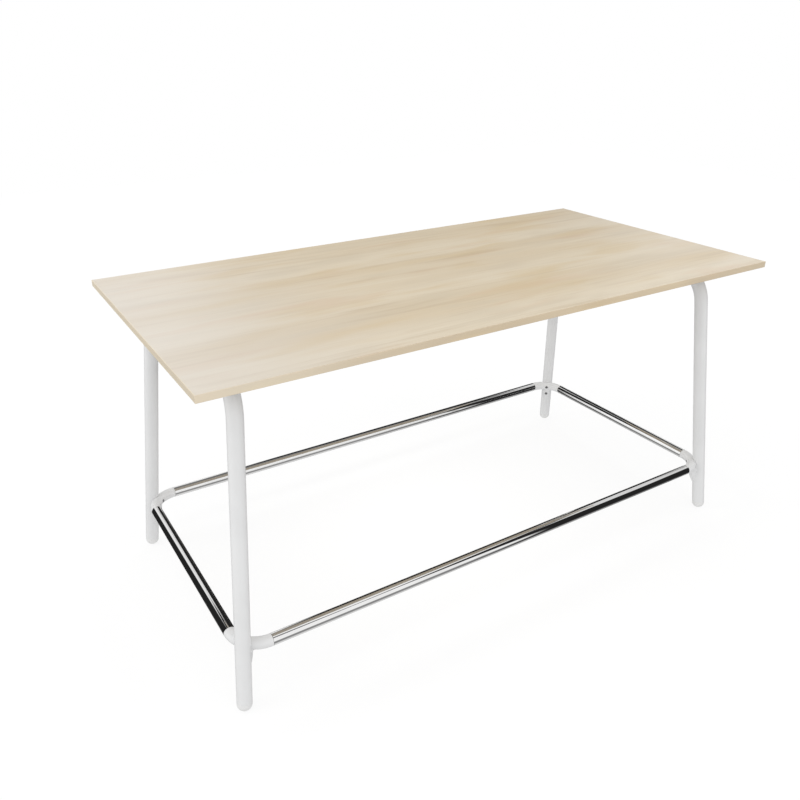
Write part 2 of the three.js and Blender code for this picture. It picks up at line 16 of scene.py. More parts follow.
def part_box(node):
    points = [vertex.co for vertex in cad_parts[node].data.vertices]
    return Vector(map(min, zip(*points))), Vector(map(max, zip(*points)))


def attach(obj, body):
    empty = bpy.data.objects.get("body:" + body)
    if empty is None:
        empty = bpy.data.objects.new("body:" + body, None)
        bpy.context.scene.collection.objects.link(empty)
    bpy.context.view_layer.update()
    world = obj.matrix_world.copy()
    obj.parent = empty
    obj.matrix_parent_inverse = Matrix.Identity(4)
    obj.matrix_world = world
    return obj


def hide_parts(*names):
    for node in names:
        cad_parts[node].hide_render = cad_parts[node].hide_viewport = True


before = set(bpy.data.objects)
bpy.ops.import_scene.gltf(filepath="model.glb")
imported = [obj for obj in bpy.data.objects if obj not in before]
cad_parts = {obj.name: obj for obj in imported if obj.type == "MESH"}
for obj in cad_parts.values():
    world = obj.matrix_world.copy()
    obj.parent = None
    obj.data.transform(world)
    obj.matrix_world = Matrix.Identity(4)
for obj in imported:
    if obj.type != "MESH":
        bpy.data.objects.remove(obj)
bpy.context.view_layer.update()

bl_info = {
    "name": "Standing meeting table",
    "version": (1, 0, 0),
    "blender": (4, 5, 0),
    "location": "3D View > Sidebar > Table",
    "description": "Models and finishes the pieces of a standing meeting table",
    "category": "Object",
}

BODY = "root"
MM = 0.001

# Points closer than this are one
NEAR = 1e-6

# Corners as in the construction: quarter turns about +Z from the back right one
CORNERS = {
    "back_right": (1, 1, 0),
    "back_left": (-1, 1, 1),
    "front_left": (-1, -1, 2),
    "front_right": (1, -1, 3),
}
ENDS = {"left": -1, "right": 1}
SIDES = {"front": -1, "back": 1}
SCREW_LEVELS = ("upper", "lower")
CAMERA_TURN = (math.radians(64.01), 0, math.radians(-31.99))

# Places that the frame gives
FRONT_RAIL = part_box("foot_rail_front")
RIGHT_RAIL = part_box("foot_rail_right")
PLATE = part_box("mounting_plate_back_right")
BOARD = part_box("top_laminate")
FRONT_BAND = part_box("edge_band_front")


def middle(box):
    """The centre of a box."""
    return (box[0] + box[1]) / 2


def span(box):
    """The size of a box."""
    return box[1] - box[0]


def length(name, description, default):
    """A property for a length in metres."""
    kind = {"precision": 5, "unit": "LENGTH", "subtype": "DISTANCE"}
    return FloatProperty(name=name, description=description, default=default, **kind)


def angle(name, description, degrees):
    """A property for an angle."""
    kind = {"unit": "ROTATION", "subtype": "ANGLE"}
    return FloatProperty(name=name, description=description, default=math.radians(degrees), **kind)


def share(name, description, default):
    """A property for a share from nothing to all."""
    kind = {"min": 0, "max": 1, "subtype": "FACTOR"}
    return FloatProperty(name=name, description=description, default=default, **kind)


def colour(name, description, default):
    """A property for a colour in linear light."""
    kind = {"size": 3, "min": 0, "max": 1, "subtype": "COLOR"}
    return FloatVectorProperty(name=name, description=description, default=default, **kind)


def vector(name, description, default, subtype):
    """A property for a place or a turn."""
    return FloatVectorProperty(name=name, description=description, default=default, subtype=subtype)


class TableSizes(PropertyGroup):
    """Sizes of the modelled pieces."""

    leg_diameter: length("Leg", "Outside diameter of the bent tube", 40 * MM)
    leg_wall: length("Leg wall", "Wall of the bent tube", 2 * MM)
    leg_bend: length("Leg bend", "Radius of the bend on the tube's axis", 110 * MM)
    leg_splay: angle("Leg splay", "Lean of a leg towards the end and the side", 6)
    rail_wall: length("Rail wall", "Wall of the foot rail tubes", 1.5 * MM)
    rail_proud: length("Rail proud", "How far the rail stands outside the leg", 1.9 * MM)
    elbow_bend: length("Elbow bend", "Radius of the connector's elbow on its axis", 79.5 * MM)
    elbow_rim: length("Elbow rim", "Rounding of the connector's edge at the rail", 0.7 * MM)
    spigot_length: length("Spigot", "Length of the connector inside a rail", 34 * MM)
    fillet: length("Fillet", "Reach of the rounding between the elbow and its lug", 11 * MM)
    foot_collar: length("Foot collar", "Straight part of the foot under the tube", 6 * MM)
    foot_plug: length("Foot plug", "Length of the foot inside the tube", 26 * MM)
    foot_flat: length("Foot flat", "How deep the dome is cut off at the floor", 1 * MM)
    screw_head: length("Screw head", "Diameter of the connector screws' heads", 10.5 * MM)
    screw_shank: length("Screw shank", "Diameter of the connector screws", 6 * MM)
    screw_crown: length("Screw crown", "Height of the connector screws' heads", 3.3 * MM)
    screw_socket: length("Screw socket", "Width across the hexagon socket", 4 * MM)
    edge_round: length("Edge rounding", "Radius of the edge band's arrises", 1.2 * MM)
    gap: length("Gap", "Clearance between pieces that meet", 0.3 * MM)
    seat_gap: length("Seat gap", "Clearance between a connector and its leg", 0.05 * MM)


class TableFinishes(PropertyGroup):
    """Colours of the finishes."""

    wood_light: colour("Pale wood", "Lightest streaks of the laminate", (0.835, 0.74, 0.58))
    wood_ground: colour("Wood", "Ground colour of the laminate", (0.737, 0.606, 0.42))
    wood_dark: colour("Dark wood", "Darkest streaks of the laminate", (0.57, 0.435, 0.27))
    wood_blush: colour("Blush", "Warm patches in the laminate", (0.735, 0.555, 0.37))
    wood_honey: colour("Honey", "Yellower patches in the laminate", (0.735, 0.585, 0.365))
    wood_grey: colour("Grey wood", "Greyer patches in the laminate", (0.71, 0.61, 0.455))
    # painted light: a pale wash that stands in for the light and sheen falling on the board's left end
    wood_fade: colour("Painted sheen on wood", "Pale grey wash towards the board's ends", (0.736, 0.705, 0.67))
    laminate_gloss: colour("Laminate gloss", "Tint of the laminate's gloss", (0.58, 0.76, 1.0))
    band: colour("Edge band", "Ground colour of the edge band", (0.575, 0.472, 0.338))
    # painted light: the edge band's own paler wash, for the sheen on it at the left end
    band_painted_sheen: colour("Faded edge band", "Paler edge band towards the board's ends", (0.85, 0.78, 0.64))
    chip_light: colour("Pale chips", "Light chips of the core board", (0.62, 0.46, 0.28))
    chip_dark: colour("Dark chips", "Dark chips of the core board", (0.36, 0.24, 0.13))
    paint: colour("Paint", "White powder coat of the frames", (0.775, 0.777, 0.779))
    plastic: colour("Plastic", "White plastic of the feet", (0.79, 0.79, 0.785))
    chrome: colour("Chrome", "Plating of the foot rails", (0.878, 0.875, 0.872))
    steel: colour("Dull steel", "Dull steel of the connector screws", (0.30, 0.30, 0.31))
    zinc: colour("Zinc", "Plating of the hidden fasteners", (0.60, 0.61, 0.60))


class TableStudio(PropertyGroup):
    """Camera and light."""

    camera_place: vector("Camera", "Place of the camera", (-1.27565, -1.8115, 1.55544), "TRANSLATION")
    camera_turn: vector("Camera turn", "Turn of the camera", CAMERA_TURN, "EULER")
    lens: FloatProperty(name="Lens", description="Focal length", default=34.568, unit="CAMERA")
    floor_width: length("Floor", "Width of the floor", 14)
    shadow: share("Shadow", "How much of the floor's shadow shows", 0.22)
    ambient: share("Ambient", "Light from all round", 1)
    bounce: share("Bounce", "How much light the floor throws back", 0.76)
    room_distance: length("Room", "Distance of the room that the chrome shows", 40)


def sizes():
    """The sizes that the panel holds."""
    return bpy.context.scene.table_sizes


def finishes():
    """The colours that the panel holds."""
    return bpy.context.scene.table_finishes


class Shade:
    """One output of a material's nodes. Sums, differences and products of shades add Math nodes."""

    def __init__(self, tree, socket=None):
        self.tree = tree
        self.socket = socket

    def node(self, kind, settings=None, inputs=None, output=0):
        """Adds a node, sets it, gives its inputs values or links and returns one of its outputs."""
        made = self.tree.nodes.new(kind)
        for key, value in (settings or {}).items():
            if key == "stops":
                ramp = made.color_ramp.elements
                while len(ramp) < len(value):
                    ramp.new(0.5)
                for element, (place, tone) in zip(ramp, value):
                    element.position = place
                    element.color = (*tone, 1)
            else:
                setattr(made, key, value)
        for key, value in (inputs or {}).items():
            if isinstance(value, Shade):
                self.tree.links.new(value.socket, made.inputs[key])
            else:
                made.inputs[key].default_value = value
        return Shade(self.tree, made.outputs[output]) if made.outputs else None

    def math(self, operation, first, second):
        """A Math node of two numbers."""
        return self.node("ShaderNodeMath", {"operation": operation}, {0: first, 1: second})

    def __add__(self, other):
        return self.math("ADD", self, other)

    def __sub__(self, other):
        return self.math("SUBTRACT", self, other)

    def __rsub__(self, other):
        return self.math("SUBTRACT", other, self)

    def __mul__(self, other):
        return self.math("MULTIPLY", self, other)

    def __truediv__(self, other):
        return self.math("DIVIDE", self, other)

    __radd__ = __add__

    def place(self):
        """Object coordinates."""
        return self.node("ShaderNodeTexCoord", output="Object")

    def stretched(self, scale, turn=0):
        """Object coordinates, turned about +Z and stretched."""
        about = {"rotation_type": "Z_AXIS"}
        turned = self.node("ShaderNodeVectorRotate", about, {"Vector": self.place(), "Angle": turn})
        return self.node("ShaderNodeVectorMath", {"operation": "MULTIPLY"}, {0: turned, 1: scale})

    def noise(self, place, detail=2, rough=0.5, distortion=0, scale=1):
        """Noise from nothing to one."""
        grain = {"Detail": detail, "Roughness": rough, "Distortion": distortion}
        return self.node("ShaderNodeTexNoise", None, {"Vector": place, "Scale": scale, **grain})

    def speckle(self, scale, detail=2, rough=0.5):
        """Noise of one grain in all directions."""
        return self.noise(self.stretched((1, 1, 1)), detail, rough, 0, scale)

    def between(self, low, high):
        """This shade spread so that low gives nothing and high gives all, without a sharp end."""
        inputs = {"Value": self, "From Min": low, "From Max": high}
        return self.node("ShaderNodeMapRange", {"interpolation_type": "SMOOTHSTEP"}, inputs)

    def within(self, low, high, edge):
        """One between two values and nothing beyond them, with soft edges."""
        return self.between(low - edge, low + edge) * self.between(high + edge, high - edge)

    def toward(self, direction):
        """How far this vector goes in a direction."""
        return self.node("ShaderNodeVectorMath", {"operation": "DOT_PRODUCT"}, {0: self, 1: direction}, 1)

    def mix(self, first, second):
        """From the first colour to the second, by this shade."""
        inputs = {0: self, 6: as_rgba(first), 7: as_rgba(second)}
        return self.node("ShaderNodeMix", {"data_type": "RGBA"}, inputs, 2)

    def bump(self, strength, distance):
        """A normal raised by this shade."""
        return self.node("ShaderNodeBump", None, {"Strength": strength, "Distance": distance, "Height": self})


def as_rgba(tone):
    """A colour with its alpha, or a shade as it is."""
    return tone if isinstance(tone, Shade) else (*tone, 1)


def dimmed(tone, factor):
    """A colour made darker by a factor: painted shade for the board's backing, darker patches in the mottled
    finishes.
    """
    return tuple(part * factor for part in tone)


def new_material(name, plain, varying):
    """A material with plain values on its sockets, and varying ones made by a function of a shade."""
    material = bpy.data.materials.new(name)
    material.use_nodes = True
    tree = material.node_tree
    principled = tree.nodes["Principled BSDF"]
    for key, value in plain.items():
        principled.inputs[key].default_value = value
    for key, shade in varying(Shade(tree)).items():
        tree.links.new(shade.socket, principled.inputs[key])
    return material


def wood_print(shade, turn, tones, on_board):
    """Base colour, roughness and normal of a pale wood print with its streaks along the length."""
    noise = {}
    for name, (stretch, narrow, detail, rough, distortion) in PRINT_NOISE.items():
        place = shade.stretched((stretch, narrow, narrow), turn)
        noise[name] = shade.noise(place, detail, rough, distortion)
    pale = noise["broad"].between(*PALE)
    if on_board:
        pale = board_bands(shade) * BAND_SHARE + pale * (1 - BAND_SHARE)
    tone = pale.mix(tones["ground"], tones["light"])
    for name, bare, full, most, tint in PRINT_LAYERS:
        tone = (noise[name].between(bare, full) * most).mix(tone, tones[tint])
    pore = noise["pores"].between(*PORES)
    gloss = 0.35 + noise["fine"] * 0.07 + pore * 0.12
    relief = (1 - pore) + noise["fine"] * 0.3
    # painted light and sheen: the print is mixed towards a pale colour at the board's ends
    sheened_tone = painted_sheen_share(shade).mix(tone, tones["fade"])
    return {"Base Color": sheened_tone, "Roughness": gloss, "Normal": relief.bump(0.12, 0.05 * MM)}


def painted_sheen_share(shade):
    """How much the print is painted paler towards the board's ends: painted light and sheen at the left end,
    and a little paler at the right one.
    """
    along_board = shade.place().toward((1, 0, 0))
    to_left = along_board.between(*LEFT_RUN) * LEFT_SHEEN
    return to_left + along_board.between(*RIGHT_RUN) * RIGHT_PALING


def board_bands(shade):
    """The broad pale bands of the print across the board, a little wavering along it."""
    across = shade.place().toward((0, 1, 0))
    waver = shade.noise(shade.stretched((0.9, 4, 4)), 2, 0.5)
    depth = span(FRONT_BAND).y * 2 + span(BOARD).y
    spot = (across + (waver - 0.5) * BAND_WAVER) * (1 / depth) + 0.5
    stops = [(spot_at, [pale] * 3) for spot_at, pale in BOARD_BANDS]
    return shade.node("ShaderNodeValToRGB", {"stops": stops}, {0: spot})


def wood_tones(**others):
    """The colours of the print by name, some of them replaced."""
    names = ("light", "ground", "dark", "blush", "honey", "grey", "fade")
    return {name: getattr(finishes(), f"wood_{name}") for name in names} | others


def wood_finish(name, shine, turn, tones, on_board):
    """A material with the wood print, turned and as shiny as asked."""
    gloss = {"Specular IOR Level": shine, "Specular Tint": as_rgba(finishes().laminate_gloss)}
    return new_material(name, gloss, lambda shade: wood_print(shade, turn, tones, on_board))


def laminate_finish(name, shaded):
    """The pale print on the board's faces, darkened by a factor: below one it is painted shade, a darker copy
    of the top's print for the underside.
    """
    # painted shade where shaded is below one: every tone of the print is darkened
    tones = {key: dimmed(tone, shaded) for key, tone in wood_tones().items()}
    return wood_finish(name, LAMINATE_SHINE, 0, tones, True)


def band_finish(name, turn):
    """The slightly darker print on the edge band, along the band."""
    wood = finishes()
    # the band's painted sheen colour is paler than the board's
    tones = wood_tones(light=wood.wood_ground, ground=wood.band, grey=wood.band, fade=wood.band_painted_sheen)
    return wood_finish(name, BAND_SHINE, turn, tones, False)


def core_finish():
    """Pressed chips, in two layers of size."""

    def chips(shade):
        place = shade.stretched((1, 1, 2.2))
        cell = shade.node("ShaderNodeTexVoronoi", None, {"Vector": place, "Scale": 420}, "Color")
        tone = shade.node("ShaderNodeSeparateColor", None, {"Color": cell})
        dust = shade.noise(place, 3, 0.6, 0, 2600)
        mixed = tone * 0.7 + dust * 0.3
        rough = 0.80 + dust * 0.12
        base = mixed.mix(finishes().chip_dark, finishes().chip_light)
        return {"Base Color": base, "Roughness": rough, "Normal": mixed.bump(0.4, 0.2 * MM)}

    return new_material("pressed_chips", {"Specular IOR Level": 0.2}, chips)


def paint_finish(name, tone, peel, grain):
    """White paint with a faint orange peel."""

    def coat(shade):
        skin = shade.speckle(peel)
        cloud = shade.speckle(9)
        base = cloud.between(0.35, 0.7).mix(tone, dimmed(tone, 0.965))
        gloss = 0.34 + skin * 0.06 + cloud * 0.05
        return {"Base Color": base, "Roughness": gloss, "Normal": skin.bump(grain, 0.08 * MM)}

    return new_material(name, {"Specular IOR Level": 0.5}, coat)


def chrome_finish():
    """Polished plating with faint polishing marks."""

    def plating(shade):
        tone = finishes().chrome
        marks = shade.speckle(160, rough=0.6)
        cloud = shade.speckle(12)
        base = cloud.between(0.4, 0.7).mix(tone, dimmed(tone, 0.95))
        gloss = 0.014 + marks * 0.012 + cloud * 0.01
        return {"Base Color": base, "Roughness": gloss}

    return new_material("polished_chrome", {"Metallic": 1}, plating)


def steel_finish(name, tone, gloss, metal):
    """Plated or dull steel with a mottled face, as far as it shines like metal."""

    def face(shade):
        mottle = shade.speckle(700, 4, 0.6)
        base = mottle.between(0.35, 0.7).mix(tone, dimmed(tone, 0.72))
        rough = gloss + mottle * 0.16
        return {"Base Color": base, "Roughness": rough, "Normal": mottle.bump(0.15, 0.03 * MM)}

    return new_material(name, {"Metallic": metal}, face)


MATERIALS = {}
RECIPES = {
    "laminate": lambda: laminate_finish("birch_laminate", 1),
    # painted shade: the backing is the top's print darkened to 0.62, for the underside that lies in the
    # board's shade
    "backing": lambda: laminate_finish("birch_backing", 0.62),
    "edge_band": lambda: band_finish("birch_edge_band", 0),
    "edge_band_across": lambda: band_finish("birch_edge_band_across", math.pi / 2),
    "chipboard": core_finish,
    "white_paint": lambda: paint_finish("white_powder_coat", finishes().paint, 1100, 0.10),
    "white_casting": lambda: paint_finish("white_cast_paint", finishes().paint, 800, 0.14),
    "white_plastic": lambda: paint_finish("white_foot_plastic", finishes().plastic, 1800, 0.08),
    "chrome_tube": chrome_finish,
    "dark_steel": lambda: steel_finish("dull_steel", finishes().steel, 0.30, 0.45),
    "zinc_steel": lambda: steel_finish("zinc_plated_steel", finishes().zinc, 0.28, 1),
}


def finish_of(name):
    """A finish, made when it is first asked for."""
    if name not in MATERIALS:
        MATERIALS[name] = RECIPES[name]()
    return MATERIALS[name]


def dress(node, finish):
    """Gives a CAD node that stays its finish."""
    node_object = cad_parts[node]
    node_object.data.materials.clear()
    node_object.data.materials.append(finish_of(finish))


def only(piece):
    """Selects one object and makes it the active one."""
    bpy.ops.object.select_all(action="DESELECT")
    piece.select_set(True)
    bpy.context.view_layer.objects.active = piece


def start(kind, name, **settings):
    """Adds a primitive by itself, with its place in its mesh, and opens it for editing."""
    bpy.ops.object.select_all(action="DESELECT")
    getattr(bpy.ops.mesh, f"primitive_{kind}_add")(**settings)
    piece = bpy.context.object
    piece.name = piece.data.name = name
    bpy.ops.object.transform_apply(location=True, rotation=True, scale=True)
    edit(piece)
    return piece


def ring(name, sides, radius, spot, turn=(0, 0, 0), fill="NOTHING"):
    """A circle of a number of sides, open for editing."""
    shape = {"vertices": sides, "radius": radius, "fill_type": fill}
    return start("circle", name, location=spot, rotation=turn, **shape)


def edit(piece):
    """Opens a piece for editing, with all of it selected."""
    only(piece)
    bpy.ops.object.mode_set(mode="EDIT")
    pick_all()


def pick_all():
    """Selects all of the open mesh."""
    bpy.ops.mesh.select_mode(type="VERT")
    bpy.ops.mesh.select_all(action="SELECT")


def close():
    """Leaves edit mode with the mesh clean and its faces outwards."""
    bpy.ops.mesh.select_all(action="SELECT")
    bpy.ops.mesh.remove_doubles(threshold=NEAR)
    bpy.ops.mesh.normals_make_consistent(inside=False)
    bpy.ops.object.mode_set(mode="OBJECT")


def pick(kind, test):
    """Selects the open mesh's vertices, edges or faces that pass a test, and nothing else."""
    bpy.ops.mesh.select_mode(type=kind)
    bpy.ops.mesh.select_all(action="DESELECT")
    mesh = bpy.context.object.data
    shape = bmesh.from_edit_mesh(mesh)
    parts = {"VERT": shape.verts, "EDGE": shape.edges, "FACE": shape.faces}[kind]
    parts.ensure_lookup_table()
    for part in parts:
        if test(part):
            part.select_set(True)
    shape.select_flush_mode()
    bmesh.update_edit_mesh(mesh)


def lies_at(edge, axis, value, near=NEAR):
    """Whether both ends of an edge have a value on an axis."""
    return all(abs(vertex.co[axis] - value) < near for vertex in edge.verts)


def upright(edge):
    """Whether an edge runs along +Z."""
    first, second = (vertex.co for vertex in edge.verts)
    return (first - second).xy.length < NEAR


def bevel(test, offset, steps):
    """Rounds the open mesh's edges that pass a test."""
    pick("EDGE", test)
    bpy.ops.mesh.bevel(offset=offset, segments=steps, affect="EDGES")


def extrude(offset):
    """Extrudes what is selected and moves it."""
    bpy.ops.mesh.extrude_region_move(TRANSFORM_OT_translate={"value": offset})


def swell(factor, centre):
    """Scales what is selected about a point."""
    bpy.ops.transform.resize(value=(factor, factor, factor), center_override=centre)


def draw_out(profile, base, axis):
    """Draws the selected face out along an axis, from the first pair of radius and height to the last."""
    radius, height = profile[0]
    for wider, higher in profile[1:]:
        extrude(axis * (higher - height))
        if wider != radius:
            swell(wider / radius, base + axis * higher)
        radius, height = wider, higher


def modify(piece, kind, **settings):
    """Adds a modifier and applies it."""
    only(piece)
    modifier = piece.modifiers.new(kind.title(), kind)
    for key, value in settings.items():
        setattr(modifier, key, value)
    bpy.ops.object.modifier_apply(modifier=modifier.name)


def combine(piece, tool, operation):
    """Joins a tool to a piece or cuts it out of it, and deletes the tool."""
    modify(piece, "BOOLEAN", object=tool, operation=operation, solver="EXACT")
    remove(tool)
    edit(piece)
    close()


def turned(name, profile, sides, place=None):
    """A solid of revolution about +Z through a profile of radius and height, each a ring."""
    radius, height = profile[0]
    piece = ring(name, sides, radius, (0, 0, height), fill="NGON")
    draw_out(profile, Vector((0, 0, 0)), Vector((0, 0, 1)))
    close()
    if place is not None:
        move(piece, place)
    return piece


def move(piece, place):
    """Moves a piece's mesh, leaving its object at the origin."""
    only(piece)
    piece.matrix_world = place
    bpy.ops.object.transform_apply(location=True, rotation=True, scale=True)


def copy_of(piece, name, place):
    """A copy with a mesh of its own, moved to a place."""
    only(piece)
    bpy.ops.object.duplicate()
    twin = bpy.context.object
    twin.name = twin.data.name = name
    move(twin, place)
    return twin


def remove(piece):
    """Deletes an object."""
    only(piece)
    bpy.ops.object.delete()


def hand_over(piece, node, finish, smooth=30):
    """Smooths a finished piece, gives it its finish and puts it in the frame in place of its node."""
    only(piece)
    bpy.ops.object.shade_smooth_by_angle(angle=math.radians(smooth))
    modify(piece, "WEIGHTED_NORMAL", keep_sharp=True)
    piece.data.materials.clear()
    piece.data.materials.append(finish_of(finish))
    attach(piece, BODY)
    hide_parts(node)


class Layout:
    """Places that several pieces share, worked out from the frame and the sizes."""

    def __init__(self):
        size = sizes()
        self.leg_radius = size.leg_diameter / 2
        self.bore = self.leg_radius - size.leg_wall
        self.rail_radius = span(FRONT_RAIL).z / 2
        self.rail_x = middle(RIGHT_RAIL).x
        self.rail_y = -middle(FRONT_RAIL).y
        self.rail_height = middle(FRONT_RAIL).z
        self.reach = self.rail_x - FRONT_RAIL[1].x - size.gap
        self.offset = self.leg_radius + size.rail_proud - self.rail_radius
        self.splay = math.tan(size.leg_splay)
        self.stretch = math.hypot(1, self.splay, self.splay)
        self.tube_height = PLATE[0].z - size.gap - self.leg_radius
        self.elbow_face = (size.elbow_bend - self.offset) * math.sqrt(2) - size.elbow_bend + self.rail_radius
        self.dome_height = self.leg_radius - size.foot_flat

    def leg(self, height, side):
        """A point on the axis of the right leg at the front or the back."""
        lean = (self.rail_height - height) * self.splay - self.offset
        return Vector((self.rail_x + lean, side * (self.rail_y + lean), height))

    def corner(self, name):
        """The place of a corner of the foot rail, turned so that the table lies towards -X and -Y."""
        x, y, turns = CORNERS[name]
        spot = Vector((x * self.rail_x, y * self.rail_y, self.rail_height))
        return Matrix.Translation(spot) @ Matrix.Rotation(turns * math.pi / 2, 4, "Z")

    def leg_at(self, name):
        """A leg's axis at a named corner."""
        return self.corner(name) @ self.on_leg()

    def on_leg(self):
        """A leg's axis in its corner: +Z up the leg and +X to the inner diagonal, at the rail's height."""
        up = Vector((-self.splay, -self.splay, 1)).normalized()
        across = Vector((1, -1, 0)).normalized()
        turn = Matrix((across.cross(up), across, up)).transposed().to_4x4()
        return Matrix.Translation((-self.offset, -self.offset, 0)) @ turn


def along(direction):
    """The turn that takes +Z to a direction, as an Euler angle."""
    return direction.to_track_quat("Z", "Y").to_euler()


# Facets and edges of the modelled pieces
LEG_SIDES = 64
BEND_STEPS = 28
RAIL_SIDES = 96
ELBOW_STEPS = 40
SCREW_SIDES = 48
DOME_STEPS = 14
LUG_RINGS = 18
VOXEL = 1.2 * MM
CASTING_PASSES = 3
FILLET_PASSES = 120
ELBOW_SPARE = 4 * MM
SPIGOT_EDGE = 2 * MM
RIM_STEPS = 3
EDGE_STEPS = 2
CROWN_STEPS = 8
PAN_STEPS = 6
BAND_STEPS = 6
PLATE_STEPS = 8
STRETCHER_STEPS = 5
RAIL_EDGE = 0.25 * MM

# The lug from its tip to its root: drop below the rail's axis, stand from the leg and radius
LUG_SECTIONS = (
    (76 * MM, 0, 4.5 * MM),
    (53 * MM, 8.8 * MM, 13 * MM),
    (34 * MM, 12.5 * MM, 17 * MM),
    (11 * MM, 11 * MM, 20.5 * MM),
)

# Noise of the wood print: scale along and across the streaks, detail, roughness and distortion
PRINT_NOISE = {
    "broad": (0.8, 9, 2, 0.5, 0),
    "streak": (2.2, 36, 2, 0.5, 0.1),
    "warm": (2.8, 15, 2, 0.5, 0.2),
    "tint": (2.6, 11, 2, 0.5, 0.3),
    "lines": (2, 120, 2, 0.5, 0),
    "fine": (5, 260, 3, 0.6, 0),
    "pores": (38, 1300, 1, 0.4, 0),
}
PALE = (0.28, 0.72)
PORES = (0.66, 0.76)

# Colours over the ground of the print, in order: noise, where it leaves bare, where it covers, share, colour
PRINT_LAYERS = (
    ("warm", 0.54, 0.76, 0.60, "blush"),
    ("tint", 0.50, 0.70, 0.65, "honey"),
    ("tint", 0.50, 0.30, 0.60, "grey"),
    ("streak", 0.54, 0.76, 0.38, "dark"),
    ("streak", 0.44, 0.24, 0.40, "light"),
    ("lines", 0.56, 0.76, 0.26, "dark"),
    ("fine", 0.50, 0.72, 0.16, "dark"),
    ("pores", *PORES, 0.14, "dark"),
)

# Pale bands of the print across the board: share of the depth from the front and how pale it is there
BOARD_BANDS = (
    (0.02, 0.80), (0.11, 0.70), (0.16, 0.15), (0.26, 0.10), (0.32, 0.75), (0.41, 0.80), (0.46, 0.25),
    (0.60, 0.30), (0.655, 0.05), (0.68, 0.65), (0.81, 0.70), (0.87, 0.25), (1.00, 0.15),
)
BAND_WAVER = 0.07
BAND_SHARE = 0.7

# Where the print is painted paler along the board, and how far: painted light and sheen at the left end, a
# little paler at the right one
LEFT_RUN = (-0.2, -0.95)
RIGHT_RUN = (0.4, 0.95)
LEFT_SHEEN = 0.5
RIGHT_PALING = 0.14
LAMINATE_SHINE = 0.65
BAND_SHINE = 0.45

# Feet
COLLAR_EDGE = 0.4 * MM
BARBS = 2
BARB_DEPTH = 1.2 * MM
BARB_FLAT = 0.4 * MM

# Fasteners
NUT_HOLE = 9.6 * MM
TIP_EDGE = 0.8 * MM
CROWN_ROUND = 0.62
SOCKET_FLOOR = 0.38
KEY_TIP = 0.4
KEY_POINT = 0.2
BOLT_HEAD = 12 * MM
BOLT_CROWN = 3 * MM
BOLT_SHANK = 6 * MM
BOLT_SOCKET = 4 * MM
WOOD_HEAD = 9 * MM
WOOD_CROWN = 2.6 * MM
WOOD_SHANK = 5 * MM
WOOD_POINT = 5 * MM
WOOD_TIP = 0.25 * MM
CROSS_LENGTH = 4.8 * MM
CROSS_WIDTH = 1 * MM
CROSS_DEPTH = 1.5 * MM
CROSS_TAPER = 0.5

# Stretchers and plates
STRETCHER_WALL = 1.5 * MM
STRETCHER_ROUND = 2.5 * MM
PLATE_CORNER = 6 * MM
PLATE_EDGE = 0.4 * MM

# The room that the chrome shows. Tones by rise in degrees, then pale panels on its walls: bearing of the wall
# from +Y to +X, bearings of the panel's two sides, lowest and highest rise straight ahead, and tone
ROOM_TONES = (
    (-90, 0.78), (-60, 0.68), (-50, 0.40), (-40, 0.09), (-30, 0.022), (-20, 0.018),
    (38, 0.019), (50, 0.022), (54, 0.15), (58, 0.24), (90, 0.15),
)
ROOM_PANELS = {
    "window_back": (3, -24.5, 16, -14, 42, 0.90),
    "window_left": (-87, -84.5, -48.2, -19, 42, 1.08),
    "window_front": (183, 145.5, 194.5, -13.3, 51, 0.96),
    "window_right": (93, 53, 69, -11.7, 37.4, 0.80),
    "door_right": (93, 48, 53.5, -14, 22, 0.80),
    "ceiling_right": (93, 53, 121, 40.6, 52.2, 0.75),
    "ceiling_front": (118, 92, 146, 56, 80, 0.95),
    "glow_left": (-87, -86, -47, -48, -19, 0.28),
    "glow_front": (183, 144, 196, -49.5, -13.5, 0.28),
}
PANEL_EDGE = 0.035

# Width of the camera's sensor in millimetres
SENSOR_WIDTH = 36

# Lamps: place, width and power
LIT_SPOT = (0, 0, 0.6)
LAMPS = {
    "left_lamp": ((-7, 1, 3.6), 5, 95),
    "front_lamp": ((-1, -7, 3.2), 5, 55),
    "fill_lamp": ((0, 0.1, 0.78), 0.3, 1.8),
}


def spin(centre, axis, turn, steps):
    """Sweeps the selected ring round an axis, right-handed: with no window the tool turns the other way."""
    bpy.ops.mesh.spin(steps=steps, angle=-turn, center=centre, axis=axis)


def drill(piece, place, radius, low, high, sides=SCREW_SIDES):
    """Cuts a round hole along +Z of a place, from one height to another."""
    tool = turned("drill", [(radius, low), (radius, high)], sides, place)
    combine(piece, tool, "DIFFERENCE")


def cut_off(point, outward):
    """Cuts the selected mesh at a plane, drops what lies outward of it and fills the cut."""
    bpy.ops.mesh.bisect(plane_co=point, plane_no=outward, clear_outer=True, use_fill=True, threshold=0)


def box_in(node, place):
    """The box of a CAD node in the axes of a place."""
    back = place.inverted()
    points = [back @ vertex.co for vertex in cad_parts[node].data.vertices]
    low = Vector(min(point[i] for point in points) for i in range(3))
    high = Vector(max(point[i] for point in points) for i in range(3))
    return low, high


def facing_inward(height):
    """A place on a leg, that far up from the rail's axis, with +Z to the inner diagonal."""
    return Matrix.Translation((0, 0, height)) @ Matrix.Rotation(math.pi / 2, 4, "Y")


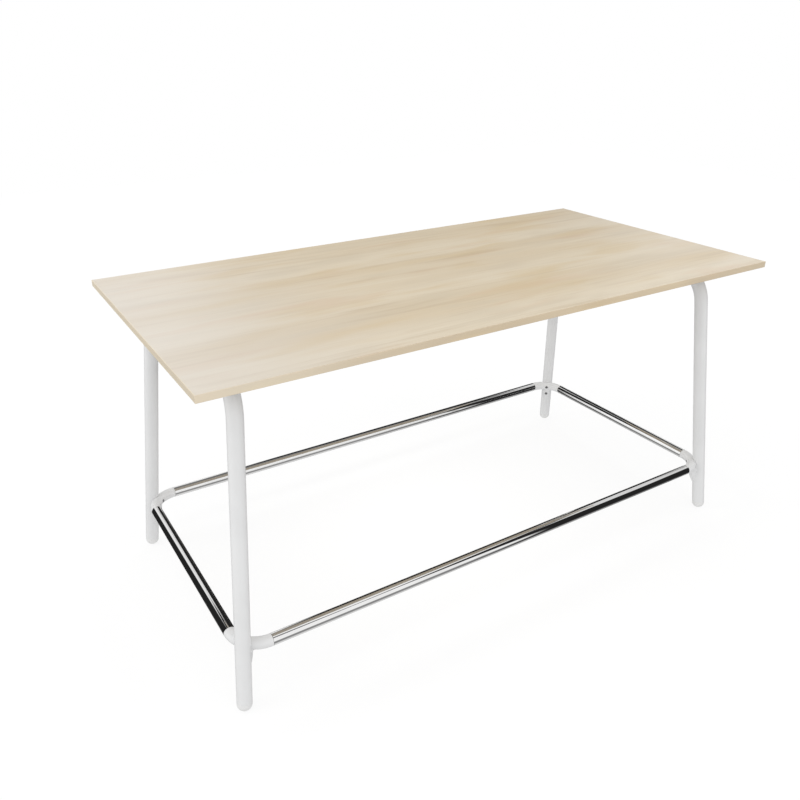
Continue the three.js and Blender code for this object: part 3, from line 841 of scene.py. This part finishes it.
class TABLE_OT_end_frames(Operator):
    """Models the bent tube frames"""

    bl_idname = "meeting_table.end_frames"
    bl_label = "End frames"

    def execute(self, context):
        """Sweeps the right frame round its two bends and turns a copy of it to the left."""
        size = sizes()
        layout = Layout()
        foot = layout.dome_height + (size.foot_collar + size.gap) / layout.stretch
        base, far_base = (layout.leg(foot, side) for side in SIDES.values())
        knee, far_knee = (layout.leg(layout.tube_height, side) for side in SIDES.values())
        level = Vector((0, 1, 0))
        up = (knee - base).normalized()
        down = (far_base - far_knee).normalized()
        turn = up.angle(level)
        setback = size.leg_bend * math.tan(turn / 2)
        tube = ring("leg_tube_right", LEG_SIDES, layout.leg_radius, base, along(up))
        extrude(knee - up * setback - base)
        for corner, before, after in ((knee, up, level), (far_knee, level, down)):
            axis = before.cross(after).normalized()
            centre = corner - before * setback + axis.cross(before) * size.leg_bend
            spin(centre, axis, turn, BEND_STEPS)
            if corner is knee:
                extrude(far_knee - knee - level * 2 * setback)
        extrude(far_base - far_knee - down * setback)
        close()
        modify(tube, "SOLIDIFY", thickness=size.leg_wall, offset=-1)
        for corner in ("front_right", "back_right"):
            leg = layout.leg_at(corner)
            for level_name in SCREW_LEVELS:
                nut = box_in(f"rivet_nut_{level_name}_{corner}", leg)
                hole = leg @ facing_inward(middle(nut).z)
                drill(tube, hole, NUT_HOLE / 2, layout.leg_radius / 2, layout.leg_radius * 1.5)
        left = copy_of(tube, "leg_tube_left", Matrix.Rotation(math.pi, 4, "Z"))
        hand_over(tube, "end_frame_right", "white_paint")
        hand_over(left, "end_frame_left", "white_paint")
        return {"FINISHED"}


class TABLE_OT_feet(Operator):
    """Models the domed feet with their plugs"""

    bl_idname = "meeting_table.feet"
    bl_label = "Feet"

    def execute(self, context):
        """Turns one foot on the leg's axis, cuts it level with the floor and copies it to each corner."""
        size = sizes()
        layout = Layout()
        radius = layout.leg_radius
        plug = layout.bore - size.gap
        profile = []
        for i in range(1, DOME_STEPS + 1):
            angle_up = math.pi / 2 * i / DOME_STEPS
            profile.append((radius * math.sin(angle_up), -radius * math.cos(angle_up)))
        profile.append((radius, size.foot_collar - COLLAR_EDGE))
        profile.append((radius - COLLAR_EDGE, size.foot_collar))
        pitch = size.foot_plug / BARBS
        for i in range(BARBS):
            height = size.foot_collar + i * pitch
            profile.append((plug - BARB_DEPTH, height + BARB_FLAT))
            profile.append((plug, height + pitch - BARB_FLAT))
            profile.append((plug - BARB_DEPTH, height + pitch))
        drop = (layout.rail_height - layout.dome_height) * layout.stretch
        master = turned("foot_cap", profile, LEG_SIDES, layout.on_leg() @ Matrix.Translation((0, 0, -drop)))
        edit(master)
        cut_off(Vector((0, 0, -layout.rail_height)), Vector((0, 0, -1)))
        close()
        for corner in CORNERS:
            cap = copy_of(master, f"foot_cap_{corner}", layout.corner(corner))
            hand_over(cap, f"foot_{corner}", "white_plastic")
        remove(master)
        return {"FINISHED"}


def lug_ring(share_down):
    """Drop, offset from the leg's axis and radius of the lug, from its tip at nothing to its root at one."""
    last = len(LUG_SECTIONS) - 1
    step = min(int(share_down * last), last - 1)
    t = share_down * last - step
    rows = [LUG_SECTIONS[min(max(step + i, 0), last)] for i in (-1, 0, 1, 2)]
    ring = []
    for a, b, c, d in zip(*rows):
        bend = (2 * a - 5 * b + 4 * c - d) * t * t + (3 * b - a - 3 * c + d) * t**3
        ring.append((2 * b + (c - a) * t + bend) / 2)
    return ring


class TABLE_OT_connectors(Operator):
    """Models the cast corner connectors"""

    bl_idname = "meeting_table.connectors"
    bl_label = "Corner connectors"

    def execute(self, context):
        """Joins an elbow and a lug, rounds their meeting, seats them on the leg and adds the spigots."""
        size = sizes()
        layout = Layout()
        casting = self.elbow(size, layout)
        combine(casting, self.lug(layout), "UNION")
        modify(casting, "REMESH", mode="VOXEL", voxel_size=VOXEL, use_smooth_shade=True)
        self.round_meeting(casting, size, layout)
        self.finish_ends(casting, size, layout)
        leg = layout.on_leg()
        seat_radius = layout.leg_radius + size.seat_gap
        drill(casting, leg, seat_radius, -2 * size.elbow_bend, size.elbow_bend, LEG_SIDES)
        place = layout.leg_at("back_right")
        for level_name in SCREW_LEVELS:
            screw = box_in(f"connector_screw_{level_name}_back_right", place)
            nut = box_in(f"rivet_nut_{level_name}_back_right", place)
            hole = leg @ facing_inward(middle(screw).z)
            seat = screw[1].x - size.screw_crown - size.gap
            drill(casting, hole, size.screw_shank / 2 + size.gap, 0, seat + size.gap)
            drill(casting, hole, span(nut).z / 2 + size.gap, 0, nut[1].x + size.gap)
            drill(casting, hole, size.screw_head / 2 + 2 * size.gap, seat, seat + 2 * layout.leg_radius)
        for corner in CORNERS:
            piece = copy_of(casting, f"connector_casting_{corner}", layout.corner(corner))
            hand_over(piece, f"corner_connector_{corner}", "white_casting", smooth=35)
        remove(casting)
        return {"FINISHED"}

    def elbow(self, size, layout):
        """A quarter bend, longer at both ends than it will be."""
        spare = layout.reach + ELBOW_SPARE
        square = (0, math.pi / 2, 0)
        piece = ring("connector_casting", RAIL_SIDES, layout.rail_radius, (-spare, 0, 0), square)
        straight = spare - size.elbow_bend
        extrude((straight, 0, 0))
        spin((-size.elbow_bend, -size.elbow_bend, 0), (0, 0, 1), -math.pi / 2, ELBOW_STEPS)
        extrude((0, -straight, 0))
        bpy.ops.mesh.select_all(action="SELECT")
        bpy.ops.mesh.fill_holes(sides=0)
        close()
        return piece

    def lug(self, layout):
        """Round sections that grow and lean away from the leg, from the tip to the root."""
        drop, proud, radius = lug_ring(0)
        offset = layout.leg_radius + proud - radius
        piece = ring("lug", LEG_SIDES, radius, (offset, 0, -drop), fill="NGON")
        for i in range(1, LUG_RINGS + 1):
            lower, last_offset, last_radius = drop, offset, radius
            drop, proud, radius = lug_ring(i / LUG_RINGS)
            offset = layout.leg_radius + proud - radius
            extrude((offset - last_offset, 0, lower - drop))
            swell(radius / last_radius, (offset, 0, -drop))
        close()
        move(piece, layout.on_leg())
        return piece

    def round_meeting(self, casting, size, layout):
        """Smooths the casting a little all over, and more where the elbow meets the lug."""
        leg_axes = layout.on_leg().inverted()
        centre = Vector((-size.elbow_bend, -size.elbow_bend, 0))

        def near_meeting(vertex):
            out = vertex.co - centre
            from_axis = math.hypot(math.hypot(out.x, out.y) - size.elbow_bend, out.z)
            spot = leg_axes @ vertex.co
            tip, root = LUG_SECTIONS[0][0], LUG_SECTIONS[-1][0]
            drop, proud, radius = lug_ring(min(max((tip + spot.z) / (tip - root), 0), 1))
            from_lug = math.hypot(spot.x - layout.leg_radius - proud + radius, spot.y) - radius
            near_elbow = abs(from_axis - layout.rail_radius) < size.fillet
            return near_elbow and abs(from_lug) < size.fillet and spot.z < 0

        edit(casting)
        bpy.ops.mesh.vertices_smooth(factor=0.5, repeat=CASTING_PASSES)
        pick("VERT", near_meeting)
        bpy.ops.mesh.vertices_smooth(factor=0.5, repeat=FILLET_PASSES)
        bpy.ops.object.mode_set(mode="OBJECT")

    def finish_ends(self, casting, size, layout):
        """Cuts both ends square to the rails, rounds their edges and draws the spigots out of them."""
        rim = size.elbow_rim
        turns = [math.pi / 2 * i / RIM_STEPS for i in range(RIM_STEPS + 1)]
        profile = [(layout.rail_radius - rim * (1 - math.cos(turn)), rim * math.sin(turn)) for turn in turns]
        spigot = layout.rail_radius - size.rail_wall - size.gap
        tip = rim + size.spigot_length
        profile += [(spigot, rim), (spigot, tip - SPIGOT_EDGE), (spigot - SPIGOT_EDGE, tip)]
        edit(casting)
        for outward in (Vector((-1, 0, 0)), Vector((0, -1, 0))):
            base = outward * (layout.reach - rim)
            pick_all()
            cut_off(base, outward)
            pick("FACE", lambda face: all(abs((v.co - base).dot(outward)) < NEAR for v in face.verts))
            draw_out(profile, base, outward)
        close()


class TABLE_OT_foot_rails(Operator):
    """Models the chromed foot rails"""

    bl_idname = "meeting_table.foot_rails"
    bl_label = "Foot rails"

    def execute(self, context):
        """Draws each tube from elbow to elbow, with its wall and its broken edges."""
        for place in (*SIDES, *ENDS):
            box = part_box(f"foot_rail_{place}")
            axis = 0 if place in SIDES else 1
            run = Vector((0, 0, 0))
            run[axis] = span(box)[axis]
            begin = middle(box) - run / 2
            rail = ring(f"rail_tube_{place}", RAIL_SIDES, span(box).z / 2, begin, along(run))
            extrude(run)
            close()
            modify(rail, "SOLIDIFY", thickness=sizes().rail_wall, offset=-1)

            def at_end(edge):
                return any(lies_at(edge, axis, corner[axis], 10 * NEAR) for corner in box)

            edit(rail)
            bevel(at_end, RAIL_EDGE, EDGE_STEPS)
            close()
            hand_over(rail, f"foot_rail_{place}", "chrome_tube", smooth=40)
        return {"FINISHED"}


def under(box):
    """The place below the middle of a box, on its lowest face."""
    return Matrix.Translation((middle(box).x, middle(box).y, box[0].z))


def overturned(crown):
    """The turn of a screw that is driven upwards, with the top of its head at height zero."""
    return Matrix.Translation((0, 0, crown)) @ Matrix.Rotation(math.pi, 4, "X")


def socket_screw(name, head, crown, shank, shank_length, socket):
    """A button head screw with a hexagon socket, its seat at height zero and its head upwards."""
    bolt = shank / 2
    tip = [(bolt - TIP_EDGE, -shank_length), (bolt, TIP_EDGE - shank_length)]
    screw = turned(name, [*tip, (bolt, 0), (head / 2, 0), (head / 2, crown)], SCREW_SIDES)

    def under_rim(edge):
        return lies_at(edge, 2, 0) and all(v.co.xy.length > bolt + TIP_EDGE for v in edge.verts)

    edit(screw)
    bevel(lambda edge: lies_at(edge, 2, crown), crown * CROWN_ROUND, CROWN_STEPS)
    bevel(under_rim, TIP_EDGE / 2, EDGE_STEPS)
    close()
    flats = socket / math.sqrt(3)
    bottom = crown * SOCKET_FLOOR
    point = (flats * KEY_TIP, bottom - socket * KEY_POINT)
    key = turned("key", [point, (flats, bottom), (flats, 2 * crown)], 6)
    combine(screw, key, "DIFFERENCE")
    return screw


class TABLE_OT_connector_screws(Operator):
    """Models the screws that hold the connectors to the legs"""

    bl_idname = "meeting_table.connector_screws"
    bl_label = "Connector screws"

    def execute(self, context):
        """Makes one screw of each length and copies it to every corner."""
        size = sizes()
        layout = Layout()
        for level_name in SCREW_LEVELS:
            box = box_in(f"connector_screw_{level_name}_back_right", layout.leg_at("back_right"))
            seat = box[1].x - size.screw_crown
            shape = (size.screw_head, size.screw_crown, size.screw_shank, seat - box[0].x, size.screw_socket)
            master = socket_screw("socket_screw", *shape)
            spot = facing_inward(middle(box).z) @ Matrix.Translation((0, 0, seat))
            for corner in CORNERS:
                label = f"{level_name}_{corner}"
                screw = copy_of(master, f"socket_screw_{label}", layout.leg_at(corner) @ spot)
                hand_over(screw, f"connector_screw_{label}", "dark_steel")
                dress(f"rivet_nut_{label}", "zinc_steel")
            remove(master)
        return {"FINISHED"}


def block(name, box):
    """A cuboid that fills a box, open for editing."""
    return start("cube", name, size=1, location=middle(box), scale=span(box))


class TABLE_OT_stretchers(Operator):
    """Models the rectangular tubes under the board with their stubs and bolts"""

    bl_idname = "meeting_table.stretchers"
    bl_label = "Stretchers"

    def execute(self, context):
        """Rounds and hollows each tube, drills it for its bolts and sets the bolts from below."""
        for side in SIDES:
            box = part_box(f"stretcher_{side}")
            tube = block(f"stretcher_tube_{side}", box)
            pick("FACE", lambda face: abs(face.normal.x) > 0.5)
            bpy.ops.mesh.delete(type="FACE")
            bevel(
                lambda edge: abs(edge.verts[0].co.x - edge.verts[1].co.x) > span(box).x / 2,
                STRETCHER_ROUND,
                STRETCHER_STEPS,
            )
            close()
            modify(tube, "SOLIDIFY", thickness=STRETCHER_WALL, offset=-1)
            for end in ENDS:
                label = f"{side}_{end}"
                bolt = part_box(f"stretcher_bolt_{label}")
                spot = under(bolt)
                drill(tube, spot, BOLT_SHANK / 2 + sizes().gap, 0, BOLT_CROWN + 2 * STRETCHER_WALL)
                shank = span(bolt).z - BOLT_CROWN
                name = f"locking_bolt_{label}"
                screw = socket_screw(name, BOLT_HEAD, BOLT_CROWN, BOLT_SHANK, shank, BOLT_SOCKET)
                move(screw, spot @ overturned(BOLT_CROWN))
                hand_over(screw, f"stretcher_bolt_{label}", "zinc_steel")
                dress(f"stretcher_stub_{label}", "white_paint")
            hand_over(tube, f"stretcher_{side}", "white_paint")
        return {"FINISHED"}


class TABLE_OT_mounting_plates(Operator):
    """Models the plates between the frames and the board with their wood screws"""

    bl_idname = "meeting_table.mounting_plates"
    bl_label = "Mounting plates"

    def execute(self, context):
        """Rounds each plate, drills it and sets two wood screws through it from below."""
        for side in SIDES:
            for end in ENDS:
                label = f"{side}_{end}"
                plate = block(f"board_plate_{label}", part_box(f"mounting_plate_{label}"))
                bevel(upright, PLATE_CORNER, PLATE_STEPS)
                bevel(lambda edge: not upright(edge), PLATE_EDGE, EDGE_STEPS)
                close()
                for place in ("inner", "outer"):
                    self.wood_screw(plate, f"{place}_{label}")
                hand_over(plate, f"mounting_plate_{label}", "white_paint")
        return {"FINISHED"}

    def wood_screw(self, plate, label):
        """A pan head screw with a cross recess, driven upwards through the plate."""
        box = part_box(f"wood_screw_{label}")
        spot = under(box)
        shank = WOOD_SHANK / 2
        drill(plate, spot, shank + sizes().gap, 0, WOOD_CROWN + 2 * span(PLATE).z)
        tip = span(box).z - WOOD_CROWN
        point = [(WOOD_TIP, -tip), (shank, WOOD_POINT - tip), (shank, 0)]
        head = [(WOOD_HEAD / 2, 0), (WOOD_HEAD / 2, WOOD_CROWN)]
        screw = turned(f"pan_screw_{label}", point + head, SCREW_SIDES)
        edit(screw)
        bevel(lambda edge: lies_at(edge, 2, WOOD_CROWN), WOOD_CROWN * CROWN_ROUND, PAN_STEPS)
        close()
        cross = (CROSS_LENGTH, CROSS_WIDTH, 2 * CROSS_DEPTH)
        for turn in (0, math.pi / 2):
            place = {"location": (0, 0, WOOD_CROWN), "rotation": (0, 0, turn)}
            slot = start("cube", "driver", size=1, scale=cross, **place)
            pick("FACE", lambda face: face.normal.z < -0.5)
            swell(CROSS_TAPER, (0, 0, WOOD_CROWN - CROSS_DEPTH))
            close()
            combine(screw, slot, "DIFFERENCE")
        move(screw, spot @ overturned(WOOD_CROWN))
        hand_over(screw, f"wood_screw_{label}", "zinc_steel")


class TABLE_OT_edge_bands(Operator):
    """Models the rounded edge bands"""

    bl_idname = "meeting_table.edge_bands"
    bl_label = "Edge bands"

    def execute(self, context):
        """Rounds the outer arrises of each band. The long bands also round the board's corners."""
        for place, sign in (*SIDES.items(), *ENDS.items()):
            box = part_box(f"edge_band_{place}")
            long_band = place in SIDES
            axis = 1 if long_band else 0
            face = box[1][axis] if sign > 0 else box[0][axis]
            band = block(f"band_strip_{place}", box)

            def outer(edge):
                return lies_at(edge, axis, face) and (long_band or not upright(edge))

            bevel(outer, sizes().edge_round, BAND_STEPS)
            close()
            finish = "edge_band" if long_band else "edge_band_across"
            hand_over(band, f"edge_band_{place}", finish)
        return {"FINISHED"}


class TABLE_OT_board(Operator):
    """Finishes the board's faces and its core"""

    bl_idname = "meeting_table.board"
    bl_label = "Board"

    def execute(self, context):
        """Gives the flat sheets of the board their finishes."""
        dress("top_laminate", "laminate")
        dress("backing_laminate", "backing")
        dress("core_board", "chipboard")
        return {"FINISHED"}


def bare_nodes(owner):
    """Empties the nodes of a material or a world and returns a shade in them."""
    owner.use_nodes = True
    owner.node_tree.nodes.clear()
    return Shade(owner.node_tree)


def seen(shade):
    """One where the camera, a reflection or a refraction looks, and nothing where light only bounces."""
    looks = 0
    for ray in ("Camera", "Glossy", "Transmission"):
        looks = shade.math("MAXIMUM", looks, shade.node("ShaderNodeLightPath", output=f"Is {ray} Ray"))
    return looks


class TABLE_OT_stage(Operator):
    """Sets the floor, the light and the camera"""

    bl_idname = "meeting_table.stage"
    bl_label = "Stage"

    def execute(self, context):
        """Makes a pale floor, soft light from all round, a room for the chrome and the camera."""
        studio = context.scene.table_studio
        self.floor(studio)
        self.room(studio)
        self.world(context.scene, studio)
        self.lamps()
        self.camera(context.scene, studio)
        context.scene.view_settings.view_transform = "Standard"
        return {"FINISHED"}

    def floor(self, studio):
        """A white floor that keeps a faint shadow and is clear from below."""
        floor = start("plane", "floor", size=studio.floor_width, location=(0, 0, -0.2 * MM))
        bpy.ops.object.mode_set(mode="OBJECT")
        material = bpy.data.materials.new("white_floor")
        shade = bare_nodes(material)
        white = (1, 1, 1)
        looked_at = seen(shade)
        tone = looked_at.mix([studio.bounce] * 3, white)
        matt = shade.node("ShaderNodeBsdfDiffuse", None, {"Color": as_rgba(white)})
        lit = shade.node("ShaderNodeEmission", None, {"Color": tone})
        factor = 1 - looked_at * studio.shadow
        top = shade.node("ShaderNodeMixShader", None, {0: factor, 1: matt, 2: lit})
        below = shade.node("ShaderNodeNewGeometry", output="Backfacing")
        clear = shade.node("ShaderNodeBsdfTransparent")
        both = shade.node("ShaderNodeMixShader", None, {0: below, 1: top, 2: clear})
        shade.node("ShaderNodeOutputMaterial", None, {"Surface": both})
        floor.data.materials.append(material)
        floor.visible_glossy = False

    def room(self, studio):
        """A room far round the table that only the reflections show."""
        room = start("uv_sphere", "reflected_room", segments=64, ring_count=32, radius=studio.room_distance)
        bpy.ops.mesh.flip_normals()
        bpy.ops.object.mode_set(mode="OBJECT")
        material = bpy.data.materials.new("reflected_room")
        shade = bare_nodes(material)
        heading = shade.node("ShaderNodeVectorMath", {"operation": "NORMALIZE"}, {0: shade.place()})
        rise = heading.toward((0, 0, 1))
        stops = [((math.sin(math.radians(up)) + 1) / 2, [tone] * 3) for up, tone in ROOM_TONES]
        tone = shade.node("ShaderNodeValToRGB", {"stops": stops}, {0: rise * 0.5 + 0.5})
        for *bearings, white in ROOM_PANELS.values():
            wall, begin, end, low, high = (math.radians(bearing) for bearing in bearings)
            ahead = heading.toward((math.sin(wall), math.cos(wall), 0))
            aside = heading.toward((math.cos(wall), -math.sin(wall), 0)) / ahead
            across = aside.within(math.tan(begin - wall), math.tan(end - wall), PANEL_EDGE)
            upward = (rise / ahead).within(math.tan(low), math.tan(high), PANEL_EDGE)
            panel = across * upward * ahead.between(0, PANEL_EDGE)
            tone = panel.mix(tone, [white] * 3)
        glow = shade.node("ShaderNodeEmission", None, {"Color": tone})
        shade.node("ShaderNodeOutputMaterial", None, {"Surface": glow})
        room.data.materials.append(material)
        for ray in ("camera", "diffuse", "transmission", "volume_scatter", "shadow"):
            setattr(room, f"visible_{ray}", False)

    def world(self, scene, studio):
        """Light from all round, white wherever it is seen."""
        scene.world = bpy.data.worlds.new("studio_world")
        shade = bare_nodes(scene.world)
        strength = studio.ambient + seen(shade) * (1 - studio.ambient)
        light = shade.node("ShaderNodeBackground", None, {"Color": (1, 1, 1, 1), "Strength": strength})
        shade.node("ShaderNodeOutputWorld", None, {"Surface": light})

    def lamps(self):
        """Large soft lamps, and a weak one under the board."""
        for name, (place, width, power) in LAMPS.items():
            turn = along(Vector(place) - Vector(LIT_SPOT))
            bpy.ops.object.light_add(type="AREA", location=place, rotation=turn)
            lamp = bpy.context.object
            lamp.name = name
            lamp.data.shape = "DISK"
            lamp.data.size = width
            lamp.data.energy = power
            lamp.visible_camera = False
            lamp.visible_glossy = False

    def camera(self, scene, studio):
        """The camera at the photograph's place."""
        bpy.ops.object.camera_add(location=studio.camera_place, rotation=studio.camera_turn)
        camera = bpy.context.object
        camera.name = "camera"
        camera.data.lens = studio.lens
        camera.data.sensor_width = SENSOR_WIDTH
        scene.camera = camera


class TABLE_PT_pieces(Panel):
    """Lists the pieces, their sizes and their finishes"""

    bl_label = "Meeting table"
    bl_space_type = "VIEW_3D"
    bl_region_type = "UI"
    bl_category = "Table"

    def draw(self, context):
        """One button for each operator, then the settings."""
        for operator in OPERATORS:
            self.layout.operator(operator.bl_idname)
        scene = context.scene
        for group in (scene.table_sizes, scene.table_finishes, scene.table_studio):
            column = self.layout.column(align=True)
            for name in group.__annotations__:
                column.prop(group, name)


OPERATORS = (
    TABLE_OT_board,
    TABLE_OT_edge_bands,
    TABLE_OT_end_frames,
    TABLE_OT_feet,
    TABLE_OT_connectors,
    TABLE_OT_foot_rails,
    TABLE_OT_connector_screws,
    TABLE_OT_stretchers,
    TABLE_OT_mounting_plates,
    TABLE_OT_stage,
)
GROUPS = {"table_sizes": TableSizes, "table_finishes": TableFinishes, "table_studio": TableStudio}


def register():
    """Registers the settings, the operators and the panel."""
    for made in (*GROUPS.values(), *OPERATORS, TABLE_PT_pieces):
        bpy.utils.register_class(made)
    for name, group in GROUPS.items():
        setattr(bpy.types.Scene, name, PointerProperty(type=group))


def unregister():
    """Takes back what register made."""
    for name in GROUPS:
        delattr(bpy.types.Scene, name)
    for made in reversed((*GROUPS.values(), *OPERATORS, TABLE_PT_pieces)):
        bpy.utils.unregister_class(made)


def main():
    """Makes every piece and the stage."""
    register()
    for operator in OPERATORS:
        group, name = operator.bl_idname.split(".")
        getattr(getattr(bpy.ops, group), name)()


if __name__ == "__main__":
    main()
